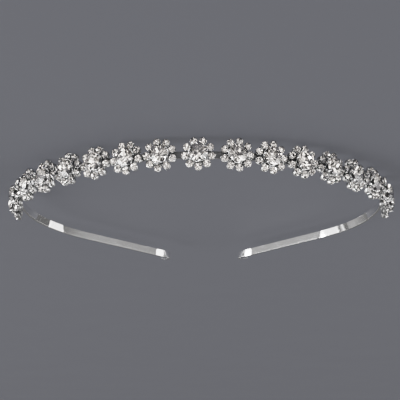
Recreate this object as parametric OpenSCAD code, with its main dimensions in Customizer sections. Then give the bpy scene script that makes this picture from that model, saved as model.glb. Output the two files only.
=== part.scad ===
// Rhinestone flower tiara on a thin flat headband, lying on its side.
// The headband's plane is level, its front points to -Y and its two ends to +Y.
// All sizes are millimetres. The origin is the middle of the whole tiara, on the surface it lies on.

/* [Headband curve] */
// Radius of the front, which carries most of the flowers
front_radius = 70; // [60:1:80]
// Half the sweep of the front, in degrees
front_angle = 57; // [50:1:60]
// Radius where the headband turns back at each side
side_radius = 39.5; // [35:0.5:45]
// Sweep of each side, in degrees
side_angle = 42.5; // [38:0.5:46]
// Radius behind each ear
rear_radius = 63; // [58:1:70]
// Sweep behind each ear, in degrees
rear_angle = 38; // [34:1:40]
// Length of the straight stretch of each leg
leg_length = 40.5; // [35:0.5:45]
// Length of the short straight link after each bend
link_length = 0.5; // [0.3:0.1:1]

/* [Band] */
// Width of the flat band
band_width = 2.4; // [2:0.1:3]
// Thickness of the flat band
band_thickness = 0.9; // [0.8:0.05:1.1]
// Chamfer on the band's four long edges
band_chamfer = 0.18; // [0.1:0.02:0.25]
// Inner radius of the outward curl at each end
curl_radius = 1; // [0.8:0.1:1.4]
// Sweep of the curl, in degrees
curl_angle = 215; // [180:5:235]

/* [Flowers] */
// Number of flowers on each side of the middle one
flowers_each_side = 8; // [6:1:8]
// Distance from flower to flower along the band
flower_pitch = 11.6; // [11.5:0.1:11.8]
// Extra distance on each side of the middle flower
middle_gap = 1.2; // [0.8:0.1:1.4]
// Petals on each flower
petal_count = 9; // [9:1:9]
// Distance from the flower's middle to the middle of a petal
petal_ring = 4.6; // [4.5:0.05:4.65]
// Radius of the solder joint between a flower and the band
solder_radius = 0.9; // [0.7:0.05:0.95]
// Thickness of the flower's back plate
plate_thickness = 0.4; // [0.3:0.05:0.6]

/* [Petals] */
// Outer radius of a petal's cup
petal_cup_radius = 1.25; // [1.2:0.05:1.3]
// Wall of a petal's cup
petal_cup_wall = 0.15; // [0.12:0.01:0.18]
// Girdle radius of a petal's stone
petal_stone_radius = 1.03; // [0.95:0.01:1.03]
// Height of a petal's girdle above the band's middle line
petal_girdle_height = 1.95; // [1.9:0.05:2.1]

/* [Centre stones] */
// Girdle radius of a centre stone
centre_stone_radius = 2.95; // [2.8:0.05:3]
// Height of a centre girdle above the band's middle line
centre_girdle_height = 3.65; // [3.5:0.05:3.8]
// Wall of the centre cup at its rim
centre_cup_wall = 0.22; // [0.18:0.01:0.25]
// Outer radius of the centre cup at its foot
centre_cup_foot = 2.35; // [2.2:0.05:2.4]
// Prongs that hold a centre stone
prong_count = 6; // [4:1:8]
// Radius of a prong
prong_radius = 0.25; // [0.2:0.01:0.28]
// Radius of the bead at a prong's tip
bead_radius = 0.3; // [0.28:0.01:0.32]
// Length of a prong below the girdle
prong_length = 1; // [0.7:0.1:1.2]
// Height of the bead's middle above the girdle
bead_rise = 0.47; // [0.46:0.01:0.5]

/* [Hidden] */
$fn = 48;
full_turn = 360;
flower_count = 2 * flowers_each_side + 1;

// Turn of each flower about its own axis, in degrees, from one side to the other
flower_turns = [14, 33, 6, 25, 12, 20, 20, 20, 10, 2, 10, 8, 30, 16, 24, 5, 28];

function stone_name(i) = str("centre_stone_", i < 10 ? "0" : "", i);

// Points along one side of the headband, seen from above, with the front's middle at [0, 0]
function after_arc_point(p, heading, radius, sweep) =
    p + radius * [sin(heading + sweep) - sin(heading), cos(heading) - cos(heading + sweep)];
side_heading = front_angle + side_angle;
leg_heading = side_heading + rear_angle;
function ahead(p, heading, length) = p + length * [cos(heading), sin(heading)];
front_end = after_arc_point([0, 0], 0, front_radius, front_angle);
side_start = ahead(front_end, front_angle, link_length);
side_end = after_arc_point(side_start, front_angle, side_radius, side_angle);
rear_start = ahead(side_end, side_heading, link_length);
rear_end = after_arc_point(rear_start, side_heading, rear_radius, rear_angle);
leg_end = ahead(rear_end, leg_heading, leg_length + 2 * link_length);

// Lengths along the band from its middle to the end of the front bend and to the start of a side bend
front_length = front_radius * front_angle * PI / 180;
side_from = front_length + link_length;

// Place and heading of a point at a distance along the band from its middle
function heading_at(along) =
    along <= side_from
    ? min(along, front_length) / front_radius * 180 / PI
    : front_angle + (along - side_from) / side_radius * 180 / PI;
function point_at(along) =
    along <= front_length
    ? after_arc_point([0, 0], 0, front_radius, heading_at(along))
    : along <= side_from
    ? ahead(front_end, front_angle, along - front_length)
    : after_arc_point(side_start, front_angle, side_radius, heading_at(along) - front_angle);

// How far a link sinks into its neighbours, and how much slimmer it is on each side
link_sink = 0.3;
link_inset = 0.02;

cup_floor_thickness = 0.18;

// Heights in a flower, above the band's middle line
back_gap = 0.07;
plate_rise = 0.1;
cup_base = band_thickness / 2 + back_gap;
cup_floor = cup_base + cup_floor_thickness;
plate_base = cup_base + plate_rise;
solder_depth = 0.3;
solder_top = cup_base + cup_floor_thickness / 2;
seat_gap = 0.07;
rim_height = 0.1;
petal_cup_top = petal_girdle_height + rim_height;
centre_cup_top = centre_girdle_height + rim_height;
centre_bore = centre_stone_radius + seat_gap;
centre_cup_radius = centre_bore + centre_cup_wall;
prong_inset = 0.05;
prong_foot = centre_girdle_height - prong_length;
bead_inset = 0.08;
bead_height = centre_girdle_height + bead_rise;
ledge_drop = 0.4;
ledge_width = 0.2;
throat_radius = 1.9;

// The back plate's openings end inside the walls of the cups
plate_radius = petal_ring - petal_cup_radius / 2;
plate_petal_hole = petal_cup_radius - petal_cup_wall / 2;
plate_centre_hole = 2.2;

// Proportions of the cut stones, as shares of the girdle radius
table_share = 0.54;
crown_share = 0.4;
star_share = 0.78;
girdle_share = 0.06;
centre_pavilion_share = 0.95;
petal_crown_share = 0.5;
petal_pavilion_share = 0.92;
lower_share = 0.3;
stone_sides = 8;

// The headband lies level at half a flower's height, with the tiara's middle over the origin
flower_radius = petal_ring + petal_cup_radius;
band_height = flower_radius;
curl_outer = curl_radius + band_thickness;
curl_middle = curl_outer - band_thickness / 2;
curl_centre_depth = leg_end[1] - curl_middle * cos(leg_heading);
front_reach = centre_girdle_height + (crown_share + girdle_share / 2) * centre_stone_radius;
depth_middle = (curl_centre_depth + curl_outer - front_reach) / 2;

// Cross-section of the band, standing on its edge
module band_section(inset = 0) {
    t = band_thickness / 2 - inset;
    w = band_width / 2 - inset;
    c = band_chamfer;
    polygon([
        [t, w - c], [t - c, w], [c - t, w], [-t, w - c],
        [-t, c - w], [c - t, -w], [t - c, -w], [t, c - w]
    ]);
}

// A stretch that starts at the origin, heading along +X, and turns towards +Y
module band_arc(radius, sweep) {
    translate([0, radius, 0])
        rotate([0, 0, -90])
            rotate_extrude(angle = sweep)
                translate([radius, 0])
                    band_section();
}

// Children placed at the far end of such a stretch
module after_arc(radius, sweep) {
    translate([0, radius, 0])
        rotate([0, 0, sweep])
            translate([0, -radius, 0])
                children();
}

module straight(length, inset = 0) {
    rotate([90, 0, 90])
        linear_extrude(length)
            band_section(inset);
}

// Children placed past a short link. The link is a hair slimmer, and sinks a little into its neighbours.
module after_link() {
    translate([-link_sink, 0, 0])
        straight(link_length + 2 * link_sink, link_inset);
    translate([link_length, 0, 0])
        children();
}

// The end of the band, rolled away from the head
module end_curl() {
    translate([0, -curl_middle, 0])
        rotate([0, 0, 90 - curl_angle])
            rotate_extrude(angle = curl_angle)
                translate([curl_middle, 0])
                    band_section();
}

// A bend, with children placed past the link at its far end
module bend(radius, sweep) {
    band_arc(radius, sweep);
    after_arc(radius, sweep)
        after_link()
            children();
}

module side_and_leg() {
    after_arc(front_radius, front_angle)
        after_link()
            bend(side_radius, side_angle)
                bend(rear_radius, rear_angle) {
                    straight(leg_length);
                    translate([leg_length, 0, 0])
                        after_link()
                            end_curl();
                }
}

module band() {
    after_arc(front_radius, -front_angle)
        band_arc(front_radius, 2 * front_angle);
    side_and_leg();
    mirror([1, 0, 0])
        side_and_leg();
}

// Children placed on the band at flower i, counted from the left, with +Z pointing out of the flower
module at_flower(i) {
    step = i - 1 - flowers_each_side;
    along = abs(step) * flower_pitch + (step == 0 ? 0 : middle_gap);
    way = sign(step);
    p = point_at(along);
    translate([way * p[0], p[1], 0])
        rotate([0, 0, way * heading_at(along)])
            rotate([90, 0, 0])
                rotate([0, 0, flower_turns[i - 1]])
                    children();
}

module at_petals() {
    for (k = [0:petal_count - 1])
        rotate([0, 0, k * full_turn / petal_count])
            translate([petal_ring, 0, 0])
                children();
}

// A web between the cups, open inside each of them
module back_plate() {
    opening_base = plate_base - plate_thickness;
    opening_height = 3 * plate_thickness;
    difference() {
        translate([0, 0, plate_base])
            cylinder(r = plate_radius, h = plate_thickness);
        translate([0, 0, opening_base])
            cylinder(r = plate_centre_hole, h = opening_height);
        at_petals()
            translate([0, 0, opening_base])
                cylinder(r = plate_petal_hole, h = opening_height);
    }
}

module petal_cup() {
    bore = petal_cup_radius - petal_cup_wall;
    rotate_extrude()
        polygon([
            [0, cup_base], [petal_cup_radius, cup_base], [petal_cup_radius, petal_cup_top],
            [bore, petal_cup_top], [bore, cup_floor], [0, cup_floor]
        ]);
}

module centre_cup() {
    ledge_height = centre_girdle_height - ledge_drop;
    rotate_extrude()
        polygon([
            [0, cup_base], [centre_cup_foot, cup_base], [centre_cup_radius, centre_cup_top],
            [centre_bore, centre_cup_top], [centre_bore, ledge_height],
            [centre_bore - ledge_width, ledge_height], [throat_radius, cup_floor], [0, cup_floor]
        ]);
}

module solder_joint() {
    foot = band_thickness / 2 - solder_depth;
    translate([0, 0, foot])
        cylinder(r = solder_radius, h = solder_top - foot);
}

module prongs() {
    for (k = [0:prong_count - 1])
        rotate([0, 0, (k + 0.5) * full_turn / prong_count]) {
            translate([centre_bore + prong_radius + prong_inset, 0, prong_foot])
                cylinder(r = prong_radius, h = bead_height - prong_foot);
            translate([centre_bore + bead_inset, 0, bead_height])
                sphere(r = bead_radius);
        }
}

module setting() {
    solder_joint();
    back_plate();
    at_petals()
        petal_cup();
    centre_cup();
    prongs();
}

// A step round the stone, as points on a circle
function ring_points(radius, height, count, start) =
    [for (k = [0:count - 1])
        let (a = start + k * full_turn / count)
        [radius * cos(a), radius * sin(a), height]];

// Round brilliant: table, stars, kites and girdle facets over a pavilion of kites, on a girdle of 16 points
module brilliant(radius) {
    n = stone_sides;
    half = full_turn / n / 2;
    table = table_share * radius;
    star = star_share * radius;
    lower = lower_share * radius;
    g = girdle_share / 2 * radius;
    crown = crown_share * radius;
    pavilion = centre_pavilion_share * radius;
    star_height = g + crown * (radius - star * cos(half)) / (radius - table);
    lower_height = -g - pavilion * (1 - lower * cos(half) / radius);
    points = concat(
        ring_points(table, g + crown, n, 0),
        ring_points(star, star_height, n, half),
        ring_points(radius, g, 2 * n, 0),
        ring_points(radius, -g, 2 * n, 0),
        ring_points(lower, lower_height, n, half),
        [[0, 0, -g - pavilion]]
    );
    t = 0;
    s = n;
    u = 2 * n;
    d = 4 * n;
    l = 6 * n;
    culet = 7 * n;
    faces = concat(
        [[for (k = [n - 1:-1:0]) t + k]],
        [for (k = [0:n - 1]) [t + k, t + (k + 1) % n, s + k]],
        [for (k = [0:n - 1]) [t + k, s + k, u + 2 * k, s + (k + n - 1) % n]],
        [for (k = [0:n - 1]) [s + k, u + 2 * k + 1, u + 2 * k]],
        [for (k = [0:n - 1]) [s + k, u + (2 * k + 2) % (2 * n), u + 2 * k + 1]],
        [for (k = [0:2 * n - 1]) [u + k, u + (k + 1) % (2 * n), d + (k + 1) % (2 * n), d + k]],
        [for (k = [0:n - 1]) [d + 2 * k, d + 2 * k + 1, l + k]],
        [for (k = [0:n - 1]) [d + 2 * k + 1, d + (2 * k + 2) % (2 * n), l + k]],
        [for (k = [0:n - 1]) [d + 2 * k, l + k, culet, l + (k + n - 1) % n]]
    );
    polyhedron(points, faces);
}

// Small cut stone: table, 8 crown facets, girdle and 8 pavilion facets
module small_cut(radius) {
    n = stone_sides;
    g = girdle_share * radius;
    points = concat(
        ring_points(table_share * radius, g + petal_crown_share * radius, n, 0),
        ring_points(radius, g, n, 0),
        ring_points(radius, -g, n, 0),
        [[0, 0, -g - petal_pavilion_share * radius]]
    );
    faces = concat(
        [[for (k = [n - 1:-1:0]) k]],
        [for (k = [0:n - 1]) [k, (k + 1) % n, n + (k + 1) % n, n + k]],
        [for (k = [0:n - 1]) [n + k, n + (k + 1) % n, 2 * n + (k + 1) % n, 2 * n + k]],
        [for (k = [0:n - 1]) [2 * n + k, 2 * n + (k + 1) % n, 3 * n]]
    );
    polyhedron(points, faces);
}

// The whole tiara moved over the origin
module placed() {
    translate([0, -depth_middle, band_height])
        children();
}

module frame() {
    color("silver")
        placed() {
            band();
            for (i = [1:flower_count])
                at_flower(i)
                    setting();
        }
}

module centre_stone(i) {
    color("aliceblue")
        placed()
            at_flower(i)
                translate([0, 0, centre_girdle_height])
                    brilliant(centre_stone_radius);
}

module petal_stones() {
    color("white")
        placed()
            for (i = [1:flower_count])
                at_flower(i)
                    at_petals()
                        translate([0, 0, petal_girdle_height])
                            small_cut(petal_stone_radius);
}

frame();
for (i = [1:flower_count])
    centre_stone(i);
petal_stones();
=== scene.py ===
# Rhinestone flower tiara: the looks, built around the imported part
import math
import random

import bmesh
import bpy
from mathutils import Matrix, Quaternion, Vector


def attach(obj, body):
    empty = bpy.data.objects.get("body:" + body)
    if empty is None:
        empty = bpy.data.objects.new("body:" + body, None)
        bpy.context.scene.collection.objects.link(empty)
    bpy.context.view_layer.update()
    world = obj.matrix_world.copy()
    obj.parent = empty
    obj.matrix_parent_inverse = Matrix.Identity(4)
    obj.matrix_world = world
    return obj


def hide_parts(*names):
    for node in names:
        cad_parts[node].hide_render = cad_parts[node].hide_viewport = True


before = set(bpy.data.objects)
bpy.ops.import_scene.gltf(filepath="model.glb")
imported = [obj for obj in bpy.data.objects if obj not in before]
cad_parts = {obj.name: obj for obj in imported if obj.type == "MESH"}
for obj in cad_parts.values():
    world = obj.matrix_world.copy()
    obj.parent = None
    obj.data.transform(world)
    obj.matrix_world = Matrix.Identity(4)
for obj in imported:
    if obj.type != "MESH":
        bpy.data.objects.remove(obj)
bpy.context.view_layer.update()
mm = 0.001
weld = 0.0005  # points closer than this, in mm, become one
print("frame loaded, nodes:", len(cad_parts))

# Headband. Lengths in mm, angles in degrees, path seen from above with its front's middle at 0, 0
band = {
    "frontRadius": 70,
    "frontSweep": 57,
    "sideRadius": 39.5,
    "sideSweep": 42.5,
    "rearRadius": 63,
    "rearSweep": 38,
    "legLength": 40.5,
    "link": 0.5,  # short straight between two arcs
    "curlRadius": 1.45,
    "curlSweep": 215,
    "depthMiddle": 61.479,  # from the front's middle back to the part's origin
    "height": 5.85,
    "width": 2.4,
    "thickness": 0.9,
    "edge": 0.02,
    "edgeSteps": 3,
    "edgeSupport": 0.015,  # gap to the extra loop beside a rounded edge
    "crown": 0.008,  # rise of the broad faces
    "endRound": 0.14,
    "endSteps": (0, 0.5, 1.05, 1.57),  # radians over the rounded end
    # where the band lies forward of this, in mm, its outer face takes the dark silver as painted
    # shade
    "paintedShadeTo": -2,
    "outwardFrom": 10,  # an outer face looks away from the origin by more than this, in mm
    "frontStep": 1.8,  # between rings, as far along the band as rearFrom
    "rearStep": 0.5,
    "rearFrom": 95,
    "curlStep": 9,  # degrees between rings
    "sharpAngle": 50,
    # how far the strip leans out from the head, at distances along it. The legs were bent by hand.
    "lean": [
        (-183, 0), (-180.8, 13.5), (-180.4, 18.5), (-177, 18.5), (-176.5, 13.5), (-141.4, 13.5),
        (-140.9, 18), (-131.6, 19.5), (-131, 15.5), (-121, 18), (-112, 19), (-95, 0),
        (95, 0), (112, 18.5), (119.8, 18.5), (120.2, 22.5), (128.8, 20.5), (129.2, 15),
        (142, 13.5), (176.5, 13.5), (177, 18.5), (180.4, 18.5), (180.8, 13.5), (183, 0),
    ],
}


# A spot is x, y and heading. A stretch leads from one spot to the next.
def stepAlong(spot, kind, size, sweep=0):
    x, y, heading = spot
    a = math.radians(heading)
    if kind == "line":
        return (x + size * math.cos(a), y + size * math.sin(a), heading)
    side = -1 if kind == "curl" else 1
    b = a + side * math.radians(sweep)
    return (
        x + side * size * (math.sin(b) - math.sin(a)),
        y + side * size * (math.cos(a) - math.cos(b)),
        math.degrees(b),
    )


def bandStretches():
    return [
        ("arc", band["frontRadius"], band["frontSweep"]),
        ("line", band["link"], 0),
        ("arc", band["sideRadius"], band["sideSweep"]),
        ("line", band["link"], 0),
        ("arc", band["rearRadius"], band["rearSweep"]),
        ("line", band["legLength"] + 2 * band["link"], 0),
        ("curl", band["curlRadius"], band["curlSweep"]),
    ]


def stretchLength(kind, size, sweep):
    return size if kind == "line" else size * math.radians(sweep)


# Distances of the band's rings from the front's middle, up to the end of the curl
def halfBandDistances():
    lengths = [stretchLength(*stretch) for stretch in bandStretches()]
    legEnd = sum(lengths[:-1])
    rearFrom = band["rearFrom"]
    distances = []
    stretches = [
        (0, rearFrom, round(rearFrom / band["frontStep"])),
        (rearFrom, legEnd, round((legEnd - rearFrom) / band["rearStep"])),
        (legEnd, legEnd + lengths[-1], round(band["curlSweep"] / band["curlStep"])),
    ]
    for start, end, steps in stretches:
        distances += [start + (end - start) * (i + 1) / steps for i in range(steps)]
    return distances


def leanAt(along):
    for (a, low), (b, high) in zip(band["lean"], band["lean"][1:]):
        if a < along <= b:
            return low + (high - low) * (along - a) / (b - a)
    return 0


# Spot at a distance along the band from its middle. Negative distances lie on the other side.
def spotAt(along):
    left = abs(along)
    spot = (0, 0, 0)
    for kind, size, sweep in bandStretches():
        length = stretchLength(kind, size, sweep)
        share = min(1, left / length)
        spot = stepAlong(spot, kind, size * share if kind == "line" else size, sweep * share)
        left -= length
        if left <= 0:
            break
    x, y, heading = spot
    return (x, y, heading) if along >= 0 else (-x, y, -heading)


# Mesh helpers. Everything is drawn in mm and scaled to metres at the end.
def newPiece(name, bm, materials, sharpAngle=40, flat=False):
    bmesh.ops.remove_doubles(bm, verts=bm.verts, dist=weld)
    bmesh.ops.recalc_face_normals(bm, faces=bm.faces)
    sharpFrom = math.radians(sharpAngle)
    for face in bm.faces:
        face.smooth = not flat
    for edge in bm.edges:
        edge.smooth = len(edge.link_faces) == 2 and edge.calc_face_angle(0) < sharpFrom
    bmesh.ops.scale(bm, vec=(mm, mm, mm), verts=bm.verts)
    mesh = bpy.data.meshes.new(name)
    bm.to_mesh(mesh)
    bm.free()
    for material in materials:
        mesh.materials.append(material)
    piece = bpy.data.objects.new(name, mesh)
    bpy.context.scene.collection.objects.link(piece)
    return piece


# A ring may hold one point many times over, as at the tip of a turned shape
def joinRings(bm, rings, closed=False):
    pairs = list(zip(rings, rings[1:]))
    if closed:
        pairs.append((rings[-1], rings[0]))
    for a, b in pairs:
        n = len(a)
        for i in range(n):
            j = (i + 1) % n
            corners = [a[i], a[j], b[j], b[i]]
            corners = [v for k, v in enumerate(corners) if v not in corners[:k]]
            if len(corners) > 2:
                bm.faces.new(corners)


# A turned shape: profile holds (radius, height) points, and a closed one leads back to its start.
# A scallop (number of claws, height it starts at, share) cuts its upper part down between claws.
def turnProfile(bm, profile, steps, place, closed=False, scallop=(0, 0, 0)):
    claws, start, share = scallop
    rings = []
    for r, z in profile:
        if r < weld:
            rings.append([bm.verts.new(place @ Vector((0, 0, z)))] * steps)
            continue
        ring = []
        for i in range(steps):
            a = math.tau * i / steps
            dip = max(0, z - start) * share * (1 + math.cos(claws * a)) / 2
            ring.append(bm.verts.new(place @ Vector((r * math.cos(a), r * math.sin(a), z - dip))))
        rings.append(ring)
    joinRings(bm, rings, closed)


# A round wire through points with a radius at each, closed by small caps
def drawWire(bm, points, radii, steps, place):
    rings = []
    last = len(points) - 1
    side = None
    for i, (p, r) in enumerate(zip(points, radii)):
        ahead = (points[min(i + 1, last)] - points[max(i - 1, 0)]).normalized()
        if side is None:
            side = ahead.orthogonal().normalized()
        side = (side - ahead * side.dot(ahead)).normalized()
        other = ahead.cross(side)
        ring = []
        for k in range(steps):
            a = math.tau * k / steps
            ring.append(bm.verts.new(place @ (p + (side * math.cos(a) + other * math.sin(a)) * r)))
        rings.append(ring)
    joinRings(bm, rings)
    for ring in (rings[0], rings[-1]):
        bm.faces.new(ring)


# Shader helpers. A value is set on its socket, and a socket is linked.
def putInto(tree, socket, value):
    if hasattr(value, "is_output"):
        tree.links.new(value, socket)
    else:
        socket.default_value = value


def addNode(tree, kind, inputs=None, **settings):
    node = tree.nodes.new(kind)
    for key, value in settings.items():
        setattr(node, key, value)
    for key, value in (inputs or {}).items():
        putInto(tree, node.inputs[key], value)
    return node


def addMath(tree, operation, *values):
    return addNode(tree, "ShaderNodeMath", dict(enumerate(values)), operation=operation).outputs[0]


def addVectorMath(tree, operation, *values):
    values = dict(enumerate(values))
    return addNode(tree, "ShaderNodeVectorMath", values, operation=operation).outputs


def addNoise(tree, place, scale, look):
    noise = addNode(tree, "ShaderNodeTexNoise", {"Vector": place, "Scale": scale, **look})
    return noise.outputs["Fac"]


def addRange(tree, value, fromMin, fromMax, toMin=0, toMax=1):
    ends = {"From Min": fromMin, "From Max": fromMax, "To Min": toMin, "To Max": toMax}
    return addNode(tree, "ShaderNodeMapRange", {"Value": value, **ends}).outputs[0]


def grey(value):
    return (value, value, value, 1)


def mixColours(tree, share, first, second):
    mix = addNode(tree, "ShaderNodeMix", data_type="RGBA")
    for socket, value in ((mix.inputs[0], share), (mix.inputs[6], first), (mix.inputs[7], second)):
        putInto(tree, socket, value)
    return mix.outputs[2]


def newGroup(name, inputs, outputs):
    tree = bpy.data.node_groups.new(name, "ShaderNodeTree")
    kind = "NodeSocketFloat"
    for label, value in inputs.items():
        socket = tree.interface.new_socket(name=label, in_out="INPUT", socket_type=kind)
        socket.default_value = value
    for label in outputs:
        tree.interface.new_socket(name=label, in_out="OUTPUT", socket_type=kind)
    given = addNode(tree, "NodeGroupInput").outputs
    return tree, given, addNode(tree, "NodeGroupOutput").inputs


def newMaterial(name):
    material = bpy.data.materials.new(name)
    material.use_nodes = True
    tree = material.node_tree
    return material, tree, tree.nodes["Principled BSDF"]


def useGroup(tree, group, values):
    return addNode(tree, "ShaderNodeGroup", values, node_tree=group).outputs


# Hairline scratches and cloudy patches that handling leaves on polished metal.
# Two families of lines, turned by angles in radians, cross each other.
handlingWear = {
    "clouds": {"Detail": 4, "Roughness": 0.6},
    "lines": {"Detail": 2},
    "lineSpan": (0.6, 0.72),
    "lineDepth": 0.6,
    "axis": (0.3, 0.2, 0.93),
    "turns": (0.5, 2.1),
}


def makeHandlingGroup():
    tree, given, put = newGroup(
        "handling wear",
        {"Cloud Scale": 300, "Scratch Scale": 900, "Scratch Stretch": 9},
        ["Cloud", "Scratch", "Height"],
    )
    place = addNode(tree, "ShaderNodeTexCoord").outputs["Object"]
    cloud = addNoise(tree, place, given["Cloud Scale"], handlingWear["clouds"])
    stretch = given["Scratch Stretch"]
    wide = addNode(tree, "ShaderNodeCombineXYZ", {"X": 1, "Y": stretch, "Z": stretch}).outputs[0]
    marks = []
    for angle in handlingWear["turns"]:
        turned = {"Vector": place, "Axis": handlingWear["axis"], "Angle": angle}
        long = addNode(tree, "ShaderNodeVectorRotate", turned).outputs[0]
        squeezed = addVectorMath(tree, "MULTIPLY", long, wide)["Vector"]
        lines = addNoise(tree, squeezed, given["Scratch Scale"], handlingWear["lines"])
        marks.append(addRange(tree, lines, *handlingWear["lineSpan"]))
    scratch = addMath(tree, "MAXIMUM", *marks)
    height = addMath(tree, "MULTIPLY_ADD", scratch, -handlingWear["lineDepth"], cloud)
    for label, value in (("Cloud", cloud), ("Scratch", scratch), ("Height", height)):
        tree.links.new(value, put[label])
    return tree


# Masks of the rubbed outer corners, and of the recesses, which darken with dust and painted shade.
# A flat face has the even value, and each mask starts a margin away from it.
cornerMasks = {"even": 0.5, "margin": 0.01}


def makeCornerGroup():
    tree, given, put = newGroup("corner wear and shade", {"Sharpness": 0.06}, ["Rubbed", "Dust And Shade"])
    bend = addNode(tree, "ShaderNodeNewGeometry").outputs["Pointiness"]
    even, margin = cornerMasks["even"], cornerMasks["margin"]
    high = addMath(tree, "ADD", even, given["Sharpness"])
    low = addMath(tree, "SUBTRACT", even, given["Sharpness"])
    tree.links.new(addRange(tree, bend, even + margin, high), put["Rubbed"])
    # the recess mask darkens hollows: dust and painted shade
    tree.links.new(addRange(tree, bend, even - margin, low), put["Dust And Shade"])
    return tree


handlingGroup = makeHandlingGroup()
cornerGroup = makeCornerGroup()

# haze and smear are the cloud values between which the roughness rises
platedBand = {
    "colour": (0.83, 0.83, 0.84, 1),
    "dustAndShadeColour": (0.70, 0.70, 0.715, 1),
    "haze": (0.35, 0.68),
    "roughness": (0.05, 0.1),
    "rubbedRoughness": 0.05,
    "scratchRoughness": 0.14,
    "bump": 0.02,
    "bumpDepth": 0.00002,
    "wear": {"Cloud Scale": 240, "Scratch Scale": 700, "Scratch Stretch": 7},
    "corners": {"Sharpness": 0.08},
}
castSilver = {
    "colour": (0.88, 0.88, 0.885, 1),
    "dustAndShadeColour": (0.50, 0.50, 0.515, 1),
    "haze": (0.35, 0.68),
    "roughness": (0.10, 0.26),
    "rubbedRoughness": 0.06,
    "scratchRoughness": 0.14,
    "bump": 0.12,
    "bumpDepth": 0.00003,
    "wear": {"Cloud Scale": 900, "Scratch Scale": 1500, "Scratch Stretch": 4},
    "corners": {"Sharpness": 0.1},
}
# A dark silver as painted shade, deep between the cups and behind the flowers
paintedShadeSilver = {
    "colour": (0.26, 0.26, 0.26, 1),
    "dustAndShadeColour": (0.12, 0.12, 0.12, 1),
    "haze": (0.35, 0.68),
    "roughness": (0.3, 0.5),
    "rubbedRoughness": 0.25,
    "scratchRoughness": 0.14,
    "bump": 0.3,
    "bumpDepth": 0.00003,
    "wear": {"Cloud Scale": 1200, "Scratch Scale": 1500, "Scratch Stretch": 3},
    "corners": {"Sharpness": 0.1},
}
crystal = {
    "glass": (1.0, 0.995, 0.985, 1),
    "ior": 1.57,
    "smear": (0.55, 0.75),
    "roughness": (0.0, 0.03),
    "wear": {"Cloud Scale": 500, "Scratch Scale": 1200, "Scratch Stretch": 6},
    "foil": (0.95, 0.94, 0.93, 1),
    "foilDull": (0.82, 0.79, 0.77, 1),
    "foilHaze": (0.4, 0.7),
    "foilRoughness": (0.02, 0.09),
    "foilWear": {"Cloud Scale": 800, "Scratch Scale": 1500, "Scratch Stretch": 3},
}


def makeMetal(name, look):
    material, tree, shader = newMaterial(name)
    wear = useGroup(tree, handlingGroup, look["wear"])
    corner = useGroup(tree, cornerGroup, look["corners"])
    shader.inputs["Metallic"].default_value = 1
    # dust and painted shade: hollows darken towards the darker colour as the recess mask rises
    dustAndShade = addMath(tree, "MULTIPLY", wear["Cloud"], corner["Dust And Shade"])
    tint = mixColours(tree, dustAndShade, look["colour"], look["dustAndShadeColour"])
    tree.links.new(tint, shader.inputs["Base Color"])
    hazy = addRange(tree, wear["Cloud"], *look["haze"], *look["roughness"])
    marked = addMath(tree, "MULTIPLY_ADD", wear["Scratch"], look["scratchRoughness"], hazy)
    rubbed = addNode(tree, "ShaderNodeMix", {"Factor": corner["Rubbed"]})
    tree.links.new(marked, rubbed.inputs[2])
    rubbed.inputs[3].default_value = look["rubbedRoughness"]
    tree.links.new(rubbed.outputs[0], shader.inputs["Roughness"])
    bumps = {"Height": wear["Height"], "Strength": look["bump"], "Distance": look["bumpDepth"]}
    relief = addNode(tree, "ShaderNodeBump", bumps)
    tree.links.new(relief.outputs[0], shader.inputs["Normal"])
    return material


def makeCrystalGlass():
    material, tree, shader = newMaterial("crystal glass")
    shader.inputs["Base Color"].default_value = crystal["glass"]
    shader.inputs["Transmission Weight"].default_value = 1
    shader.inputs["IOR"].default_value = crystal["ior"]
    wear = useGroup(tree, handlingGroup, crystal["wear"])
    smear = addRange(tree, wear["Cloud"], *crystal["smear"], *crystal["roughness"])
    tree.links.new(smear, shader.inputs["Roughness"])
    return material


def makeCrystalFoil():
    material, tree, shader = newMaterial("mirror foil")
    wear = useGroup(tree, handlingGroup, crystal["foilWear"])
    shader.inputs["Metallic"].default_value = 1
    tint = mixColours(tree, wear["Cloud"], crystal["foil"], crystal["foilDull"])
    tree.links.new(tint, shader.inputs["Base Color"])
    hazy = addRange(tree, wear["Cloud"], *crystal["foilHaze"], *crystal["foilRoughness"])
    tree.links.new(hazy, shader.inputs["Roughness"])
    return material


bandMetal = makeMetal("plated band", platedBand)
castMetal = makeMetal("cast silver", castSilver)
paintedShadeMetal = makeMetal("painted shade silver", paintedShadeSilver)
crystalGlass = makeCrystalGlass()
mirrorFoil = makeCrystalFoil()
print("materials made")


# Section of the band, standing on its edge: t is out from the head, w is up
def bandSection(inset=0):
    t = band["thickness"] / 2 - inset
    w = band["width"] / 2 - inset
    e = band["edge"]
    crown = band["crown"]
    steps = band["edgeSteps"]
    flat = w - e - band["edgeSupport"]
    corner = t - crown - e
    points = []
    for side in (1, -1):
        for up in (-flat, -flat / 2, 0, flat / 2, flat):
            points.append((side * (t - crown * (up / w) ** 2), side * up))
        for k in range(steps + 1):
            a = math.radians(90 * k / steps)
            points.append((side * (corner + e * math.cos(a)), side * (w - e + e * math.sin(a))))
        top = corner - band["edgeSupport"]
        points += [(side * top, side * w), (-side * top, side * w)]
        for k in range(steps + 1):
            a = math.radians(90 + 90 * k / steps)
            points.append((side * (e * math.cos(a) - corner), side * (w - e + e * math.sin(a))))
    return points


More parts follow.
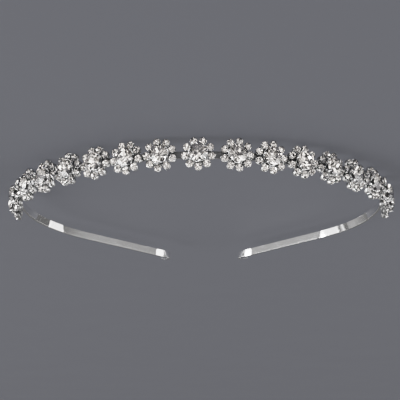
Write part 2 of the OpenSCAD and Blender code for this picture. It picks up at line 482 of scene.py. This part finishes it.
def makeHeadband():
    half = halfBandDistances()
    distances = [-along for along in reversed(half)] + [0] + half
    bm = bmesh.new()
    rings = []

    def addRing(along, inset=0, shift=0):
        x, y, heading = spotAt(along)
        a = math.radians(heading)
        lean = math.radians(leanAt(along))
        x += shift * math.cos(a)
        y += shift * math.sin(a) - band["depthMiddle"]
        ring = []
        for t, w in bandSection(inset):
            out = t + w * math.tan(lean)
            spot = (x + out * math.sin(a), y - out * math.cos(a), band["height"] + w)
            ring.append(bm.verts.new(spot))
        rings.append(ring)

    # both ends are rounded over
    r = band["endRound"]
    ends = [(r * (1 - math.sin(a)), r * (1 - math.cos(a))) for a in band["endSteps"]]
    for inset, shift in ends:
        addRing(distances[0], inset, shift)
    for along in distances[1:-1]:
        addRing(along)
    for inset, shift in reversed(ends):
        addRing(distances[-1], inset, -shift)
    joinRings(bm, rings)
    for ring in (rings[0], rings[-1]):
        bm.faces.new(ring)
    # painted shade: the strip's outer face takes the dark silver where it runs behind the flowers
    bmesh.ops.recalc_face_normals(bm, faces=bm.faces)
    for face in bm.faces:
        middle = face.calc_center_median()
        outward = face.normal.x * middle.x + face.normal.y * middle.y
        if middle.y < band["paintedShadeTo"] and outward > band["outwardFrom"]:
            face.material_index = 1
    return newPiece("headband", bm, [bandMetal, paintedShadeMetal], band["sharpAngle"])


headbandPiece = makeHeadband()
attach(headbandPiece, "root")
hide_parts("frame")
print("headband made, faces:", len(headbandPiece.data.polygons))

# Flowers. In a flower, +Z points out of it and heights count from the band's middle line.
flowers = {
    "eachSide": 8,
    "pitch": 11.6,
    "middleGap": 1.2,
    "turns": [14, 33, 6, 25, 12, 20, 20, 20, 10, 2, 10, 8, 30, 16, 24, 5, 28],
    "petals": 9,
    "petalRing": 4.55,
    "sharpAngle": 42,
}
# A cup's wall, inside, claw and bead count from its lip: out from its radius, up from its top.
# A claw's points also hold the share of its radius there.
petalCup = {
    "radius": 1.3,
    "bore": 1.18,
    "foot": 1.2,
    "footBevel": (0.05, 0.05),
    "base": 0.52,
    "floor": 0.7,
    "floorRadius": 0.93,
    "top": 1.95,
    "rim": 0.06,
    "rimSteps": 4,
    "steps": 28,
    "scallop": (1.0, 0.5),
    "wall": [(-0.03, -0.93), (0, -0.3)],
    "inside": [(-0.12, -0.95)],
    "claws": 4,
    "clawRadius": 0.105,
    "clawSteps": 8,
    "claw": [
        (-0.06, -0.9, 0.5), (-0.01, -0.65, 0.9), (-0.01, -0.2, 1),
        (-0.03, -0.02, 1.05), (-0.1, 0.1, 1.15), (-0.2, 0.25, 1.2),
    ],
    "bead": (-0.24, 0.25),
    "beadRadius": 0.15,
    "beadSteps": 8,
}
centreCup = {
    "radius": 3.24,
    "bore": 3.02,
    "foot": 2.35,
    "footBevel": (0.08, 0.06),
    "base": 0.52,
    "floor": 0.7,
    "floorRadius": 1.9,
    "top": 3.75,
    "rim": 0.09,
    "rimSteps": 4,
    "steps": 60,
    "scallop": (1.7, 0.62),
    # instead of a wall: share of the way up its flare, and depth of the turned groove there
    "flare": [(0.3, 0), (0.6, 0), (0.72, 0), (0.76, 0.05), (0.8, 0), (0.9, 0)],
    "inside": [(-0.22, -0.45), (-0.42, -0.5)],
    "claws": 6,
    "clawRadius": 0.2,
    "clawSteps": 12,
    "claw": [
        (-0.34, -1.85, 0.6), (-0.12, -1.35, 0.95), (-0.02, -0.6, 1),
        (0.02, -0.1, 1), (-0.1, 0.2, 1.1), (-0.25, 0.34, 1.15),
    ],
    "bead": (-0.28, 0.34),
    "beadRadius": 0.29,
    "beadSteps": 14,
}
backWeb = {
    "inside": 2.25,
    "outside": 3.97,
    "base": 0.62,
    "top": 1.02,
    "edge": 0.08,
    "steps": 60,
    # faces lower than this take the dark silver as painted shade
    "paintedShadeTo": 1.5,
}
# The drop of solder under a flower. It sinks into the band and laps into the centre cup's base.
solder = {
    "radius": 0.95,
    "foot": 1.15,
    "neck": 0.98,
    "neckRise": 0.05,
    "sink": 0.03,
    "lap": 0.04,
    "steps": 32,
}


def flowerPlace(i):
    step = i - 1 - flowers["eachSide"]
    way = (step > 0) - (step < 0)
    x, y, heading = spotAt(step * flowers["pitch"] + way * flowers["middleGap"])
    place = Matrix.Translation((x, y - band["depthMiddle"], band["height"]))
    place @= Matrix.Rotation(math.radians(heading), 4, "Z")
    place @= Matrix.Rotation(math.radians(90), 4, "X")
    return place @ Matrix.Rotation(math.radians(flowers["turns"][i - 1]), 4, "Z")


def petalPlace(k):
    turn = Matrix.Rotation(math.tau * k / flowers["petals"], 4, "Z")
    return turn @ Matrix.Translation((flowers["petalRing"], 0, 0))


def addBead(bm, spot, radius, steps):
    rings = steps // 2
    angles = [math.pi * k / rings for k in range(rings + 1)]
    profile = [(radius * math.sin(a), -radius * math.cos(a)) for a in angles]
    turnProfile(bm, profile, steps, Matrix.Translation(spot))


def lipSpot(cup, out, up):
    return (cup["radius"] + out, cup["top"] + up)


# Over the cup's rim, from its outside to its bore
def rimPoints(cup):
    middle = (cup["radius"] + cup["bore"]) / 2
    half = (cup["radius"] - cup["bore"]) / 2
    start = cup["top"] - cup["rim"]
    angles = [math.pi * k / cup["rimSteps"] for k in range(cup["rimSteps"] + 1)]
    return [(middle + half * math.cos(a), start + cup["rim"] * math.sin(a)) for a in angles]


def flareSpot(cup, share, dip):
    out = (cup["radius"] - cup["foot"]) * share - dip
    return (cup["foot"] + out, cup["base"] + (cup["top"] - cup["base"]) * share)


def addCup(bm, cup, wall, place):
    out, up = cup["footBevel"]
    profile = [(0, cup["base"]), (cup["foot"] - out, cup["base"]), (cup["foot"], cup["base"] + up)]
    profile += wall + rimPoints(cup) + [lipSpot(cup, *point) for point in cup["inside"]]
    profile += [(cup["floorRadius"], cup["floor"]), (0, cup["floor"])]
    scallop = (cup["claws"], *cup["scallop"])
    turnProfile(bm, profile, cup["steps"], place, scallop=scallop)
    clawPoints = []
    clawRadii = []
    for out, up, share in cup["claw"]:
        x, z = lipSpot(cup, out, up)
        clawPoints.append(Vector((x, 0, z)))
        clawRadii.append(cup["clawRadius"] * share)
    x, z = lipSpot(cup, *cup["bead"])
    for k in range(cup["claws"]):
        turn = place @ Matrix.Rotation(math.tau * (k + 0.5) / cup["claws"], 4, "Z")
        drawWire(bm, clawPoints, clawRadii, cup["clawSteps"], turn)
        addBead(bm, turn @ Vector((x, 0, z)), cup["beadRadius"], cup["beadSteps"])


def addBackWeb(bm, place):
    inside, outside, base, top, edge = (
        backWeb[key] for key in ("inside", "outside", "base", "top", "edge")
    )
    profile = [(inside, base), (outside - edge, base), (outside, base + edge)]
    profile += [(outside, top - edge), (outside - edge, top), (inside, top)]
    turnProfile(bm, profile, backWeb["steps"], place, closed=True)


def addSolder(bm, place):
    top = centreCup["base"] + solder["lap"]
    foot = band["thickness"] / 2 - band["crown"] - solder["sink"]
    drop = [(0, foot), (solder["foot"], foot), (solder["neck"], foot + solder["neckRise"])]
    drop += [(solder["radius"], top), (0, top)]
    turnProfile(bm, drop, solder["steps"], place)


# One flower's metalwork at the origin. Every flower is a copy of it.
def makeSettingPattern():
    bm = bmesh.new()
    addBackWeb(bm, Matrix())
    addSolder(bm, Matrix())
    centreWall = [flareSpot(centreCup, *point) for point in centreCup["flare"]]
    addCup(bm, centreCup, centreWall, Matrix())
    petalWall = [lipSpot(petalCup, *point) for point in petalCup["wall"]]
    for k in range(flowers["petals"]):
        addCup(bm, petalCup, petalWall, petalPlace(k))
    # painted shade: the back web and the lower walls of the cups take the dark silver
    for face in bm.faces:
        if face.calc_center_median().z < backWeb["paintedShadeTo"]:
            face.material_index = 1
    return bm


def makeSetting(i, pattern):
    bm = pattern.copy()
    bm.transform(flowerPlace(i))
    metals = [castMetal, paintedShadeMetal]
    piece = newPiece("flower_setting_%02d" % i, bm, metals, flowers["sharpAngle"])
    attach(piece, "root")
    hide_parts("frame")
    return piece


flowerCount = 2 * flowers["eachSide"] + 1
settingPattern = makeSettingPattern()
settings = [makeSetting(i, settingPattern) for i in range(1, flowerCount + 1)]
print("flower settings made, faces in each:", len(settings[0].data.polygons))

# Cut stones. The girdle's radius and its height in the flower are in mm, the other sizes are
# shares of that radius, and tilt and lift are in degrees.
centreCut = {
    "radius": 3.1,
    "height": 3.84,
    "table": 0.54,
    "star": 0.78,
    "crown": 0.32,
    "girdle": 0.06,
    "pavilion": 0.94,
    "steps": 64,
    "tilt": 1.5,
    "lift": 2,
}
petalCut = {
    "radius": 1.24,
    "height": 2.1,
    "table": 0.54,
    "star": 0.78,
    "crown": 0.45,
    "girdle": 0.12,
    "pavilion": 0.88,
    "steps": 32,
    "tilt": 4,
    "lift": 1,
}
# How a stone is cut out of its round blank, in mm
cutting = {
    "mains": 8,  # main facets round the stone
    "spare": 0.02,
    "snap": 0.00001,
    "weld": 0.0008,
    "flat": 0.004,  # facets that meet at less, in radians, are one
    "foilFrom": 0.4,  # share of the girdle's height, down from its middle
}
luck = random.Random(17)


def ringSpot(radius, height, turn):
    return Vector((radius * math.cos(turn), radius * math.sin(turn), height))


# Every facet is a flat cut through three points of the stone's pattern
def facetPlanes(cut):
    r = cut["radius"]
    g = cut["girdle"] * r / 2
    table, star = (cut[k] * r for k in ("table", "star"))
    top = g + cut["crown"] * r
    bottom = -g - cut["pavilion"] * r
    half = math.pi / cutting["mains"]
    starHeight = g + cut["crown"] * r * (r - star * math.cos(half)) / (r - table)
    planes = [[ringSpot(table, top, a) for a in (0, 2, 4)]]
    for k in range(cutting["mains"]):
        a = k * math.tau / cutting["mains"]
        b, c = a + half, a + 2 * half
        tip = ringSpot(star, starHeight, b)
        planes.append([ringSpot(table, top, a), ringSpot(table, top, c), tip])
        planes.append([tip, ringSpot(star, starHeight, c + half), ringSpot(r, g, c)])
        planes.append([Vector((0, 0, bottom)), ringSpot(r, -g, a), ringSpot(r, -g, c)])
    return planes, top, bottom


def cutCrystal(cut):
    planes, top, bottom = facetPlanes(cut)
    bm = bmesh.new()
    r = cut["radius"]
    blank = {"radius1": r, "radius2": r, "depth": top - bottom + cutting["spare"]}
    place = Matrix.Translation((0, 0, (top + bottom) / 2))
    bmesh.ops.create_cone(bm, cap_ends=True, segments=cut["steps"], matrix=place, **blank)
    for a, b, c in planes:
        normal = (b - a).cross(c - a).normalized()
        if normal.dot(a) < 0:
            normal = -normal
        knife = {"plane_co": a, "plane_no": normal, "dist": cutting["snap"], "clear_outer": True}
        bmesh.ops.bisect_plane(bm, geom=bm.verts[:] + bm.edges[:] + bm.faces[:], **knife)
        rim = [edge for edge in bm.edges if edge.is_boundary]
        if rim:
            bmesh.ops.edgeloop_fill(bm, edges=rim)
    bmesh.ops.remove_doubles(bm, verts=bm.verts, dist=cutting["weld"])
    bmesh.ops.dissolve_limit(bm, angle_limit=cutting["flat"], verts=bm.verts, edges=bm.edges)
    points = [v.co.copy() for v in bm.verts]
    faces = [[v.index for v in face.verts] for face in bm.faces]
    bm.free()
    return points, faces


# A stone sits a little askew by chance, and a little lifted toward the light
def addCrystal(bm, pattern, cut, place):
    tilt = math.radians(cut["tilt"])
    turn = Matrix.Rotation(luck.uniform(0, math.tau), 4, "Z")
    lean = Matrix.Rotation(luck.uniform(-tilt, tilt), 4, "X")
    lean = lean @ Matrix.Rotation(luck.uniform(-tilt, tilt), 4, "Y")
    up = place.to_3x3().inverted() @ Vector((0, 0, 1))
    lift = Matrix.Rotation(math.radians(cut["lift"]), 4, Vector((0, 0, 1)).cross(up))
    seat = place @ Matrix.Translation((0, 0, cut["height"])) @ lift @ lean @ turn
    points, faces = pattern
    verts = [bm.verts.new(seat @ p) for p in points]
    foilFrom = -cut["girdle"] * cut["radius"] * cutting["foilFrom"]
    for corners in faces:
        face = bm.faces.new([verts[c] for c in corners])
        middle = sum((points[c] for c in corners), Vector()) / len(corners)
        face.material_index = 1 if middle.z < foilFrom else 0


def makeCrystals(name, pattern, cut, places, node):
    bm = bmesh.new()
    for place in places:
        addCrystal(bm, pattern, cut, place)
    piece = newPiece(name, bm, [crystalGlass, mirrorFoil], flat=True)
    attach(piece, "root")
    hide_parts(node)


centrePattern = cutCrystal(centreCut)
petalPattern = cutCrystal(petalCut)
print("stone patterns cut, faces:", len(centrePattern[1]), len(petalPattern[1]))
for i in range(1, flowerCount + 1):
    place = flowerPlace(i)
    ring = [place @ petalPlace(k) for k in range(flowers["petals"])]
    stoneNode = "centre_stone_%02d" % i
    makeCrystals("centre_crystal_%02d" % i, centrePattern, centreCut, [place], stoneNode)
    makeCrystals("petal_crystals_%02d" % i, petalPattern, petalCut, ring, "petal_stones")
print("crystals set")

# Studio: a pale floor in a ring of light panels with gaps, under a soft ceiling.
# Azimuths count from the front towards +X, in degrees, each with its brightness.
# The low wall is the strip between floor and panels.
studio = {
    "floorColour": (0.034, 0.035, 0.04, 1),
    "floorRoughness": (0.6, 0.75),
    "mottleScale": 30,
    "mottle": {"Detail": 3},
    "floorGloss": 0.1,
    "floorGlow": 0.074,
    "floorGlowColour": (0.95, 0.97, 1.08, 1),
    "floorSize": 4,
    "lowWall": [
        (-180, 0.12), (-113, 0.13), (-98, 0.19), (-84, 0.27), (-76, 0.33), (-66, 0.15),
        (-60, 4.2), (-30, 3.4), (-24, 0.1), (-18, 2.7), (18, 2.7), (24, 0.1),
        (30, 3.4), (60, 4.2), (66, 0.15), (76, 0.38), (84, 0.34), (97, 0.34),
        (98, 0.16), (101, 0.16), (102.2, 1.7), (103, 1.7), (103.6, 0.04), (106.6, 0.04),
        (107.6, 0.33), (114, 0.36), (122, 0.25), (132, 0.16), (180, 0.12),
    ],
    "panels": [
        (-180, 0.14), (-170, 0.14), (-165, 0.6), (-116, 2.4), (-114, 1.35), (-98, 1.35),
        (-96, 2.2), (-90, 1.8), (-76, 2.1), (-68, 0.03), (-63, 0.03), (-60, 2.1),
        (-36, 1.6), (-33, 0.03), (-24, 0.03), (-21, 1.3), (16, 1.3), (19, 0.03),
        (28, 0.03), (31, 1.6), (54, 2.2), (57, 0.03), (62, 0.03), (65, 2.3),
        (84, 2.3), (87, 1.25), (98, 1.25), (101, 3.0), (120, 2.6), (165, 0.6),
        (170, 0.14), (180, 0.14),
    ],
    "panelFrom": (8.6, 9.4),
    "panelTo": (32, 38),
    "ceiling": 0.4,
    "tint": (1.0, 0.992, 0.98),
    "tentStrength": 1,
    "gapTone": 0.02,
    # dark openings in the tent: direction, degrees out to where it is full, and to where it ends
    "openings": [
        ((-0.02, -0.955, 0.3), 8, 10),
        ((0.45, -0.75, 0.5), 4, 5.5),
        ((-0.5, -0.7, 0.45), 6, 8),
        ((0.1, -0.6, 0.8), 9, 12),
        ((-0.8, -0.1, 0.5), 5, 7),
        ((0.85, 0.1, 0.6), 4.5, 6),
        ((-0.27, -0.95, 0.12), 4.5, 6),
        ((0.24, -0.95, 0.2), 4.5, 6),
        ((0.22, -0.85, 0.66), 5, 7),
        ((-0.3, -0.8, 0.74), 5, 7),
        ((-0.62, -0.3, 0.78), 5, 7),
        ((0.72, -0.72, 0.2), 4, 6),
        ((-0.78, -0.62, 0.28), 4, 6),
        ((0.35, 0.15, 0.95), 8, 10),
        ((-0.35, 0.25, 0.93), 8, 10),
    ],
    "softboxes": [
        {"name": "softbox left", "spot": (-0.95, -0.4, 0.6), "size": (0.6, 0.6), "power": 6},
        {"name": "softbox right", "spot": (1.0, -0.3, 0.6), "size": (0.6, 0.7), "power": 14},
    ],
}


def makeFloor():
    s = studio["floorSize"] / 2
    mesh = bpy.data.meshes.new("floor")
    mesh.from_pydata([(-s, -s, 0), (s, -s, 0), (s, s, 0), (-s, s, 0)], [], [(0, 1, 2, 3)])
    floor = bpy.data.objects.new("floor", mesh)
    bpy.context.scene.collection.objects.link(floor)
    material, tree, shader = newMaterial("pale floor")
    place = addNode(tree, "ShaderNodeTexCoord").outputs["Object"]
    mottle = addNoise(tree, place, studio["mottleScale"], studio["mottle"])
    spread = addRange(tree, mottle, 0, 1, *studio["floorRoughness"])
    tree.links.new(spread, shader.inputs["Roughness"])
    shader.inputs["Base Color"].default_value = studio["floorColour"]
    shader.inputs["Specular IOR Level"].default_value = studio["floorGloss"]
    shader.inputs["Emission Color"].default_value = studio["floorGlowColour"]
    shader.inputs["Emission Strength"].default_value = studio["floorGlow"]
    mesh.materials.append(material)


# Brightness round the horizon from a list of azimuths and values
def addWall(tree, share, marks):
    wall = addNode(tree, "ShaderNodeValToRGB", {"Fac": share})
    stops = wall.color_ramp.elements
    while len(stops) < len(marks):
        stops.new(0.5)
    azimuths, values = zip(*marks)
    for stop, azimuth in zip(stops, azimuths):
        stop.position = (azimuth + 180) / 360
    # the colours follow once every stop is in its place
    for stop, value in zip(stops, values):
        stop.color = grey(value)
    return wall.outputs["Color"]


# Mask that rises from one elevation to the next
def addClimb(tree, height, elevations):
    return addRange(tree, height, *(math.sin(math.radians(a)) for a in elevations))


def makeTent():
    world = bpy.data.worlds.new("light tent")
    world.use_nodes = True
    tree = world.node_tree
    toward = addNode(tree, "ShaderNodeTexCoord").outputs["Generated"]
    parts = addNode(tree, "ShaderNodeSeparateXYZ", {"Vector": toward}).outputs
    front = addMath(tree, "MULTIPLY", parts["Y"], -1)
    azimuth = addMath(tree, "ARCTAN2", parts["X"], front)
    share = addMath(tree, "MULTIPLY_ADD", azimuth, 1 / math.tau, 0.5)
    lowWall = addWall(tree, share, studio["lowWall"])
    panels = addWall(tree, share, studio["panels"])
    ceiling = grey(studio["ceiling"])
    colour = mixColours(tree, addClimb(tree, parts["Z"], studio["panelFrom"]), lowWall, panels)
    colour = mixColours(tree, addClimb(tree, parts["Z"], studio["panelTo"]), colour, ceiling)
    for spot, inner, outer in studio["openings"]:
        close = addVectorMath(tree, "DOT_PRODUCT", toward, Vector(spot).normalized())["Value"]
        edges = [math.cos(math.radians(a)) for a in (outer, inner)]
        colour = mixColours(tree, addRange(tree, close, *edges), colour, grey(studio["gapTone"]))
    tinted = addVectorMath(tree, "MULTIPLY", colour, studio["tint"])["Vector"]
    back = tree.nodes["Background"]
    tree.links.new(tinted, back.inputs["Color"])
    back.inputs["Strength"].default_value = studio["tentStrength"]
    bpy.context.scene.world = world


def makeSoftboxes():
    for box in studio["softboxes"]:
        light = bpy.data.lights.new(box["name"], "AREA")
        light.shape = "RECTANGLE"
        light.size, light.size_y = box["size"]
        light.energy = box["power"]
        lamp = bpy.data.objects.new(box["name"], light)
        lamp.location = box["spot"]
        lamp.rotation_euler = (-lamp.location).to_track_quat("-Z", "Y").to_euler()
        bpy.context.scene.collection.objects.link(lamp)


# The photo looks at the tiara from under its own plane. The tiara is the same on both sides
# of that plane, so the camera stands above the floor and is turned upside down.
lens = {
    "spot": (-0.010611, -0.62916, 0.198),
    "target": (0.000534, -0.001479, 0.003),
    "turn": 180.05,
    "focal": 160.72,
    "sensor": 36,
}


def makeCamera():
    data = bpy.data.cameras.new("camera")
    data.sensor_width = lens["sensor"]
    data.lens = lens["focal"]
    camera = bpy.data.objects.new("camera", data)
    camera.location = lens["spot"]
    look = Vector(lens["target"]) - Vector(lens["spot"])
    roll = Quaternion((0, 0, 1), math.radians(lens["turn"]))
    camera.rotation_mode = "QUATERNION"
    camera.rotation_quaternion = look.to_track_quat("-Z", "Y") @ roll
    bpy.context.scene.collection.objects.link(camera)
    bpy.context.scene.camera = camera


makeFloor()
makeTent()
makeSoftboxes()
makeCamera()
print("studio ready")

# The picture's finish: a camera's soft shoulder in the lights, as light coming in and tone shown
finish = {
    "brightest": 1.6,
    "curve": [
        (0, 0), (0.06, 0.065), (0.16, 0.195), (0.27, 0.34),
        (0.46, 0.505), (0.69, 0.65), (0.9, 0.75), (1.6, 0.88),
    ],
}


def makeFinish():
    scene = bpy.context.scene
    scene.view_settings.view_transform = "Standard"
    scene.use_nodes = True
    tree = scene.node_tree
    tree.nodes.clear()
    picture = tree.nodes.new("CompositorNodeRLayers")
    tone = tree.nodes.new("CompositorNodeCurveRGB")
    brightest = finish["brightest"]
    tone.inputs["White Level"].default_value = grey(brightest)
    points = tone.mapping.curves[3].points
    while len(points) < len(finish["curve"]):
        points.new(0.5, 0.5)
    for point, (light, shown) in zip(points, finish["curve"]):
        point.location = (light / brightest, shown)
    tone.mapping.update()
    out = tree.nodes.new("CompositorNodeComposite")
    tree.links.new(picture.outputs["Image"], tone.inputs["Image"])
    tree.links.new(tone.outputs["Image"], out.inputs["Image"])


makeFinish()
print("finish set")

bpy.context.view_layer.update()
